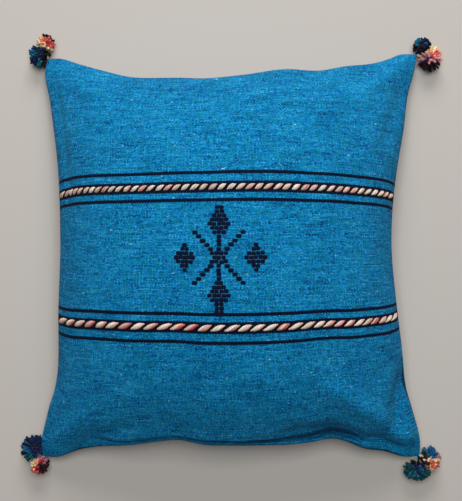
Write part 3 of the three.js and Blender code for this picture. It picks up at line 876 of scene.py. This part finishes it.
def pompom_room(row, corner, middle, direction):
    """How far a strand can reach from the middle: to the oval outline, the floor, the plane
    between it and its neighbour, or the sides of the cushion's corner."""
    other = next(each for each in POMPOMS if each["corner"] == row["corner"] and each is not row)
    beside = corner + (other["right"], other["up"], POMPOM_MIDDLE_HEIGHT) - middle
    share = (row["rx"] + row["ry"]) / (row["rx"] + row["ry"] + other["rx"] + other["ry"])
    distance = np.linalg.norm(beside)
    oval = direction / (row["rx"], row["ry"], POMPOM_HALF_HEIGHT)
    outline = 1 / np.linalg.norm(oval, axis=1)
    toward = np.maximum(direction @ (beside / distance), 1e-3)
    neighbour = (share * distance - STRAND_TIP * 0.6) / toward
    floor_room = (middle[2] - STRAND_TIP) / np.maximum(-direction[:, 2], 1e-3)
    inward = -np.sign(corner[:2] - SHIFT[:2])
    clear = (corner[:2] - middle[:2]) * inward - STRAND_TIP
    into = direction[:, :2] * inward
    to_side = np.where(into > 1e-3, clear / np.maximum(into, 1e-3), np.where(clear > 0, 99, -99))
    cushion_room = to_side.max(1)
    cushion_room = np.where(cushion_room > 0, cushion_room, 99)
    return np.minimum.reduce([outline, neighbour, floor_room, cushion_room])


def tie_paths(corner, middle, steps):
    """Two plies wound round each other from the corner of the cover to the pompom's middle, and
    a small ring of yarn that knots them at the corner."""
    end = np.array([*corner[:2], CORNER_HEIGHT])
    tau = np.linspace(0, 1, steps)[:, None]
    line = end + (middle - end) * tau
    along = (middle - end) / np.linalg.norm(middle - end)
    side = np.cross(along, (0, 0, 1.0))
    over = np.cross(side, along)
    paths = []
    for phase in (0, np.pi):
        turn = 9 * tau + phase
        paths.append(line + 0.6 * (side * np.cos(turn) + over * np.sin(turn)))
    turn = 2 * np.pi * tau
    paths.append(end + along * (1.6 + 1.2 * tau) + 1.3 * (side * np.cos(turn) + over * np.sin(turn)))
    return np.array(paths)


def strand_directions(rng):
    """Directions spread evenly over a ball by the golden angle, each turned a little at random."""
    k = np.arange(STRANDS)
    up = 1 - 2 * (k + 0.5) / STRANDS
    turn = k * np.pi * (3 - np.sqrt(5)) + rng.normal(0, 0.1, STRANDS)
    flat = np.sqrt(1 - up * up)
    return np.stack([flat * np.cos(turn), flat * np.sin(turn), up], 1)


def strands(direction, reach, middle, rng):
    """The paths and radii of the strands: straight but for a bend that grows as the square of
    the way along, thicker towards the cut end, and lifted off the floor."""
    tau = np.linspace(0, 1, STRAND_STEPS)
    bend = np.cross(direction, rng.normal(size=direction.shape))
    path = (direction[:, None] * (1.5 + (reach[:, None, None] - 1.5) * tau[None, :, None])
            + bend[:, None] * (1.2 * tau ** 2)[None, :, None]) + middle
    radius = STRAND_ROOT + (STRAND_TIP - STRAND_ROOT) * np.sqrt(tau)
    radius[-2:] = STRAND_TIP * 0.94, STRAND_TIP * 0.55
    radii = radius[None] * (0.85 + 0.3 * rng.random((len(path), 1)))
    path[..., 2] = np.maximum(path[..., 2], radii + 0.05)
    return path, radii


def pompom(row, material, rng):
    """A tuft of cut yarn tied to its corner: strands leave its bound middle in every direction
    but that of the tie, and stop where their room ends."""
    corner = np.array([*CORNERS[row["corner"]], 0.0]) + SHIFT
    middle = corner + (row["right"], row["up"], POMPOM_MIDDLE_HEIGHT)
    direction = strand_directions(rng)
    room = pompom_room(row, corner, middle, direction)
    reach = room * np.where(room > 8, 0.86 + 0.18 * rng.random(STRANDS), 1)
    home = corner + (0, 0, CORNER_HEIGHT) - middle
    home /= np.linalg.norm(home)
    keep = (reach > 4) & (direction @ home < 0.86)
    direction = direction[keep]
    path, radii = strands(direction, reach[keep], middle, rng)
    ties = tie_paths(corner, middle, STRAND_STEPS)
    path = np.concatenate([path, ties])
    radii = np.concatenate([radii, np.full(ties.shape[:2], TIE_RADIUS)])
    tie_wool = colour(WOOLS["cream" if row["tone"] == "bright" else "navy"])
    wools = np.concatenate([strand_wools(row, direction, rng), [tie_wool] * len(ties)])
    piece = yarn_piece(f"tuft_{row['corner']}_{row['tone']}", path, radii, STRAND_SIDES, wools,
                       material)
    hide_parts(f"pompom_{row['corner']}_{row['tone']}")


# Materials

def add(tree, kind, *feeds, inputs=None, **settings):
    """Adds a shader node with its settings. The feeds go to its inputs in order, and inputs
    names others: each is a value, a socket, or a node whose first output is taken."""
    made = tree.nodes.new("ShaderNode" + kind)
    for name, value in settings.items():
        setattr(made, name, value)
    for place, feed in [*enumerate(feeds), *(inputs or {}).items()]:
        feed = feed.outputs[0] if isinstance(feed, bpy.types.Node) else feed
        if isinstance(feed, bpy.types.NodeSocket):
            tree.links.new(feed, made.inputs[place])
        else:
            made.inputs[place].default_value = feed
    return made


def new_material(name, roughness, sheen):
    """A wool: no shine to speak of, and a soft sheen from its fibres."""
    material = bpy.data.materials.new(name)
    material.use_nodes = True
    tree = material.node_tree
    shader = tree.nodes["Principled BSDF"]
    shader.inputs["Roughness"].default_value = roughness
    shader.inputs["IOR"].default_value = 1.5
    shader.inputs["Specular IOR Level"].default_value = 0.05
    shader.inputs["Sheen Weight"].default_value = sheen
    shader.inputs["Sheen Roughness"].default_value = 0.5
    return material, tree, shader


def finish_material(tree, shader, base, relief, strength, depth):
    """Gives the shader its colour, and a bump of so many millimetres from a relief."""
    tree.links.new(base, shader.inputs["Base Color"])
    bump = add(tree, "Bump", inputs={"Height": relief.outputs[0], "Strength": strength,
                                     "Distance": depth * MM})
    tree.links.new(bump.outputs[0], shader.inputs["Normal"])


def twist(tree, along, across, pitch):
    """Fine slanting ridges of a spun yarn, 0 in their furrows and 1 on their backs."""
    turns = add(tree, "Math", add(tree, "Math", along, pitch, operation="DIVIDE"), across,
                operation="ADD")
    wave = add(tree, "Math", add(tree, "Math", turns, np.pi, operation="MULTIPLY"),
               operation="SINE")
    return add(tree, "Math", wave, operation="ABSOLUTE")


def yarn_shade(tree, number, along, look):
    """How pale a yarn is along its length, about 0.5: noise of its own, one pattern to a yarn."""
    row = add(tree, "Math", number, YARN_ROW_STEP, operation="MULTIPLY")
    place = add(tree, "Math", along, look["length"], operation="DIVIDE")
    spot = add(tree, "CombineXYZ", row, place, look["seed"])
    pale = add(tree, "TexNoise", spot, inputs={"Scale": 1.0, "Detail": 2.0, "Roughness": 0.65})
    return add(tree, "Math", pale, look["contrast"], (1 - look["contrast"]) / 2,
               operation="MULTIPLY_ADD")


def yarn_pad(tree, across, along):
    """The rounded back of a yarn where it lies on top: 0 at its sides, 1 along its middle, and
    a little lower where it dips under its neighbours."""
    waves = []
    for place, fullness in ((across, 0.8), (along, 0.4)):
        wave = add(tree, "Math", add(tree, "Math", place, np.pi, operation="MULTIPLY"),
                   operation="SINE")
        wave = add(tree, "Math", wave, operation="ABSOLUTE")
        waves.append(add(tree, "Math", wave, fullness, operation="POWER"))
    return add(tree, "Math", *waves, operation="MULTIPLY")


def plain_weave(tree, place):
    """Warp and weft crossing one over one. Each yarn wanders by up to its own width. Returns,
    of whichever yarn is on top, its shade, its rounded back with the ridges of its twist, and
    whether it is weft."""
    drift = add(tree, "TexNoise", place, inputs={"Scale": 0.07, "Detail": 2.0}).outputs["Color"]
    drift = add(tree, "VectorMath", drift, (0.5, 0.5, 0.5), operation="SUBTRACT")
    drift = add(tree, "VectorMath", drift, inputs={"Scale": 3.5}, operation="SCALE")
    axes = add(tree, "SeparateXYZ", add(tree, "VectorMath", place, drift, operation="ADD"))
    x, y = axes.outputs["X"], axes.outputs["Y"]
    warp = add(tree, "Math", x, YARN_PITCH, operation="DIVIDE")
    weft = add(tree, "Math", y, YARN_PITCH, operation="DIVIDE")
    warp_number = add(tree, "Math", warp, operation="FLOOR")
    weft_number = add(tree, "Math", weft, operation="FLOOR")
    number = add(tree, "Math", warp_number, weft_number, operation="ADD")
    odd = add(tree, "Math", number, 2.0, operation="MODULO")
    weft_up = add(tree, "Math", odd, operation="ABSOLUTE")
    shade = add(tree, "Mix", weft_up, inputs={2: yarn_shade(tree, warp_number, y, WARP_SHADE),
                                              3: yarn_shade(tree, weft_number, x, WEFT_SHADE)})
    back = add(tree, "Mix", weft_up, inputs={2: yarn_pad(tree, warp, weft),
                                             3: yarn_pad(tree, weft, warp)})
    ridges = add(tree, "Mix", weft_up, inputs={2: twist(tree, y, warp, TWIST_PITCH),
                                               3: twist(tree, x, weft, TWIST_PITCH)})
    back = add(tree, "Math", ridges, TWIST_DEPTH, back, operation="MULTIPLY_ADD")
    return shade, back, weft_up


def heathered_blue(tree, place, shade, flecks):
    """Blue wool from several dye lots: the yarns' own shades, flecks of fibre and slow clouds
    pick a blue, some patches lean to green, and a few pale slubs show."""
    clouds = add(tree, "TexNoise", place, inputs={"Scale": 0.02, "Detail": 3.0})
    tone = add(tree, "Math", shade, TONE_OF_YARNS, TONE_SHIFT, operation="MULTIPLY_ADD")
    tone = add(tree, "Math", flecks, TONE_OF_FLECKS, tone, operation="MULTIPLY_ADD")
    tone = add(tree, "Math", clouds, TONE_OF_CLOUDS, tone, operation="MULTIPLY_ADD")
    ramp = add(tree, "ValToRGB", tone)
    stops = ramp.color_ramp.elements
    stops.remove(stops[1])
    for number, (position, blue) in enumerate(BLUES):
        stop = stops[0] if number == 0 else stops.new(position)
        stop.position = position
        stop.color = colour(blue)
    green = add(tree, "TexNoise", place, inputs={"Scale": 0.11, "Detail": 3.0})
    green = add(tree, "Math", green, GREEN_GAIN, -GREEN_GAIN * GREEN_FROM,
                operation="MULTIPLY_ADD")
    blue = add(tree, "Mix", green, inputs={6: ramp.outputs[0], 7: colour(GREENISH)},
               data_type="RGBA").outputs[2]
    drawn = add(tree, "VectorMath", place, FLECK_STRETCH, operation="MULTIPLY")
    slub = add(tree, "TexNoise", drawn, inputs={"Scale": 0.31, "Detail": 1.0})
    slub = add(tree, "Math", slub, SLUB_GAIN, -SLUB_GAIN * SLUB_FROM, operation="MULTIPLY_ADD",
               use_clamp=True)
    return add(tree, "Mix", slub, inputs={6: blue, 7: colour(PALE_SLUB)},
               data_type="RGBA").outputs[2]


def woven_lines(tree, height, weft_up, front):
    """Where the weft is black: inside the lines of each band, mirrored to the lower one, with
    edges that step in and out by half a yarn. None of them shows on the back."""
    height = add(tree, "Math", height, operation="ABSOLUTE")
    ragged = add(tree, "Math", weft_up, 0.5, -0.25, operation="MULTIPLY_ADD")
    ragged = add(tree, "Math", height, ragged, operation="ADD")
    black = 0.0
    for line in BLACK_LINES:
        away = add(tree, "Math", ragged, line["middle"], operation="SUBTRACT")
        away = add(tree, "Math", away, operation="ABSOLUTE")
        inside = add(tree, "Math", away, -2.5, 2.5 * line["half_width"] + 0.5,
                     operation="MULTIPLY_ADD")
        black = add(tree, "Math", black, inside, operation="MAXIMUM")
    on_front = add(tree, "Math", front, -0.1, operation="GREATER_THAN")
    black = add(tree, "Math", black, 1.0, operation="MINIMUM")
    return add(tree, "Math", black, on_front, operation="MULTIPLY")


def plain_woven_wool():
    """Hand-spun wool in plain weave, yarn-dyed blue: matt, with each yarn in its own shade, so
    the cloth looks heathered. Its real yarns are about 1.2 mm apart and are drawn 1.8 mm apart,
    because finer ones wouldn't show. Shade is painted into its colour at the yarns' sides, in
    the lip's crease and round the seam."""
    material, tree, shader = new_material("plain_woven_blue_wool", 1.0, 0.02)
    place = add(tree, "Attribute", attribute_name="weave").outputs["Vector"]
    axes = add(tree, "SeparateXYZ", place)
    shade, back, weft_up = plain_weave(tree, place)
    drawn = add(tree, "VectorMath", place, FLECK_STRETCH, operation="MULTIPLY")
    flecks = add(tree, "TexNoise", drawn, inputs={"Scale": 0.65, "Detail": 2.5,
                                                  "Roughness": 0.6})
    blue = heathered_blue(tree, place, shade, flecks)
    black = add(tree, "Mix", flecks, inputs={6: colour(0x04070F), 7: colour(0x11213F)},
                data_type="RGBA").outputs[2]
    lines = woven_lines(tree, axes.outputs["Y"], weft_up, axes.outputs["Z"])
    base = add(tree, "Mix", lines, inputs={6: blue, 7: black}, data_type="RGBA").outputs[2]
    # Painted shade: each yarn is darker towards its sides, where it dips under its neighbours, and
    # in the furrows of its twist.
    bright = add(tree, "Math", back, 0.6, 0.63, operation="MULTIPLY_ADD")
    base = add(tree, "VectorMath", base, inputs={"Scale": bright}, operation="SCALE")
    # Painted shade: the lip's crease and flat lip by the bottom seam, and the seam edge, darkest at
    # its drawn-in middle, are mixed towards a dark blue.
    side = add(tree, "Math", axes.outputs["Z"], operation="ABSOLUTE")
    painted_shade = add(tree, "Math", 1.0, side, operation="SUBTRACT")
    base = add(tree, "Mix", painted_shade, inputs={6: base, 7: colour(0x04131F)},
               data_type="RGBA").outputs[2]
    relief = add(tree, "Math", flecks, 0.8, back, operation="MULTIPLY_ADD")
    finish_material(tree, shader, base, relief, 0.7, 0.5)
    return material


def twisted_wool(name, ply_length):
    """Thick two-ply wool yarn. The dye of each length comes from its own attribute, its two
    plies wind round it as slanting ridges with painted shade in the furrow between them, and
    loose fibres make its surface uneven and its tone vary at random."""
    material, tree, shader = new_material(name, 0.9, 0.1)
    dye = add(tree, "Attribute", attribute_name="yarn")
    turn = add(tree, "Attribute", attribute_name="turn").outputs["Vector"]
    turn = add(tree, "SeparateXYZ", turn).outputs
    around = add(tree, "Math", turn["Y"], turn["X"], operation="ARCTAN2")
    along = add(tree, "Math", turn["Z"], np.pi / ply_length, operation="MULTIPLY")
    wave = add(tree, "Math", around, along, operation="SUBTRACT")
    wave = add(tree, "Math", wave, operation="COSINE")
    ply = add(tree, "Math", wave, operation="ABSOLUTE")
    ply = add(tree, "Math", ply, 0.6, operation="POWER")
    place = add(tree, "TexCoord").outputs["Object"]
    fibre = add(tree, "TexNoise", place, inputs={"Scale": 900.0, "Detail": 3.0})
    # The fibres vary the tone at random; the ply adds painted shade, darker in the furrow between
    # the plies.
    bright = add(tree, "Math", fibre, 0.6, 0.47, operation="MULTIPLY_ADD")
    bright = add(tree, "Math", ply, 0.3, bright, operation="MULTIPLY_ADD")
    base = add(tree, "VectorMath", dye, inputs={"Scale": bright}, operation="SCALE")
    relief = add(tree, "Math", fibre, 0.7, ply, operation="MULTIPLY_ADD")
    finish_material(tree, shader, base.outputs[0], relief, 0.8, 0.5)
    return material


def black_brocade_wool():
    """Soft black wool of the star, laid as a few yarns side by side: worn matt, with a little
    blue left in its dye, and painted shade between the yarns and in the furrows of their twist."""
    material, tree, shader = new_material("black_brocade_wool", 0.95, 0.05)
    dash = add(tree, "Attribute", attribute_name="dash").outputs["Vector"]
    axes = add(tree, "SeparateXYZ", dash)
    ridges = twist(tree, axes.outputs["X"], axes.outputs["Y"], TWIST_PITCH)
    place = add(tree, "TexCoord").outputs["Object"]
    fibre = add(tree, "TexNoise", place, inputs={"Scale": 900.0, "Detail": 3.0})
    base = add(tree, "Mix", fibre, inputs={6: colour(0x04060F), 7: colour(0x14244A)},
               data_type="RGBA").outputs[2]
    # Painted shade: darker in the furrows of the twist and between the yarns laid side by side.
    bright = add(tree, "Math", ridges, 0.3, 0.8, operation="MULTIPLY_ADD")
    bright = add(tree, "Math", axes.outputs["Z"], bright, operation="MULTIPLY")
    base = add(tree, "VectorMath", base, inputs={"Scale": bright}, operation="SCALE")
    relief = add(tree, "Math", ridges, 0.8, fibre, operation="MULTIPLY_ADD")
    finish_material(tree, shader, base.outputs[0], relief, 0.7, 0.4)
    return material


# The set

def floor():
    """A plain pale floor, wider than the view."""
    material, _, shader = new_material("matt_pale_floor", 0.85, 0.0)
    shader.inputs["Base Color"].default_value = colour(0xC9C3BC)
    level_square("floor", FLOOR_HALF, -FLOOR_DROP, material)


def light():
    """Soft daylight from a tall window beyond the top edge, and a pale room all round."""
    window = bpy.data.lights.new("window", "AREA")
    window.shape = "RECTANGLE"
    window.size = 1.8
    window.size_y = 1.2
    window.energy = 53
    lamp = bpy.data.objects.new("window", window)
    lamp.location = (0.1, 2.6, 1.5)
    lamp.rotation_euler = (Vector((0, 0, 0)) - lamp.location).to_track_quat("-Z", "Y").to_euler()
    bpy.context.scene.collection.objects.link(lamp)
    ceiling = bpy.data.lights.new("ceiling", "AREA")
    ceiling.size = 1.6
    ceiling.energy = 36
    glow = bpy.data.objects.new("ceiling", ceiling)
    glow.location = (0, 0.5, 2.3)
    bpy.context.scene.collection.objects.link(glow)
    world = bpy.data.worlds.new("room")
    world.use_nodes = True
    world.node_tree.nodes["Background"].inputs[0].default_value = (1, 1, 1, 1)
    world.node_tree.nodes["Background"].inputs[1].default_value = 0.05
    bpy.context.scene.world = world


def camera():
    """The eye above the cushion, tilted a little towards its bottom edge."""
    lens = bpy.data.cameras.new("eye")
    lens.lens = LENS
    lens.sensor_width = 36
    eye = bpy.data.objects.new("eye", lens)
    tilt = np.radians(EYE_TILT)
    place = np.array([0, -np.sin(tilt), np.cos(tilt)]) * EYE_DISTANCE
    eye.location = (place + SHIFT) * MM
    look = Vector(-place)
    eye.rotation_euler = look.to_track_quat("-Z", "Y").to_euler()
    bpy.context.scene.collection.objects.link(eye)
    bpy.context.scene.camera = eye


def build():
    """Makes the set, the cover, and then everything that is worked into it or tied to it."""
    rng = np.random.default_rng(SEED)
    camera()
    light()
    floor()
    face = cover(plain_woven_wool())
    twine = twisted_wool("twined_two_ply_wool", 2.6)
    for band in BANDS:
        twined_band(band, face, twine, rng)
    star(face, black_brocade_wool(), rng)
    tuft = twisted_wool("cut_pile_wool_yarn", 4.5)
    for row in POMPOMS:
        pompom(row, tuft, rng)
    bpy.context.scene.view_settings.view_transform = "Standard"


build()
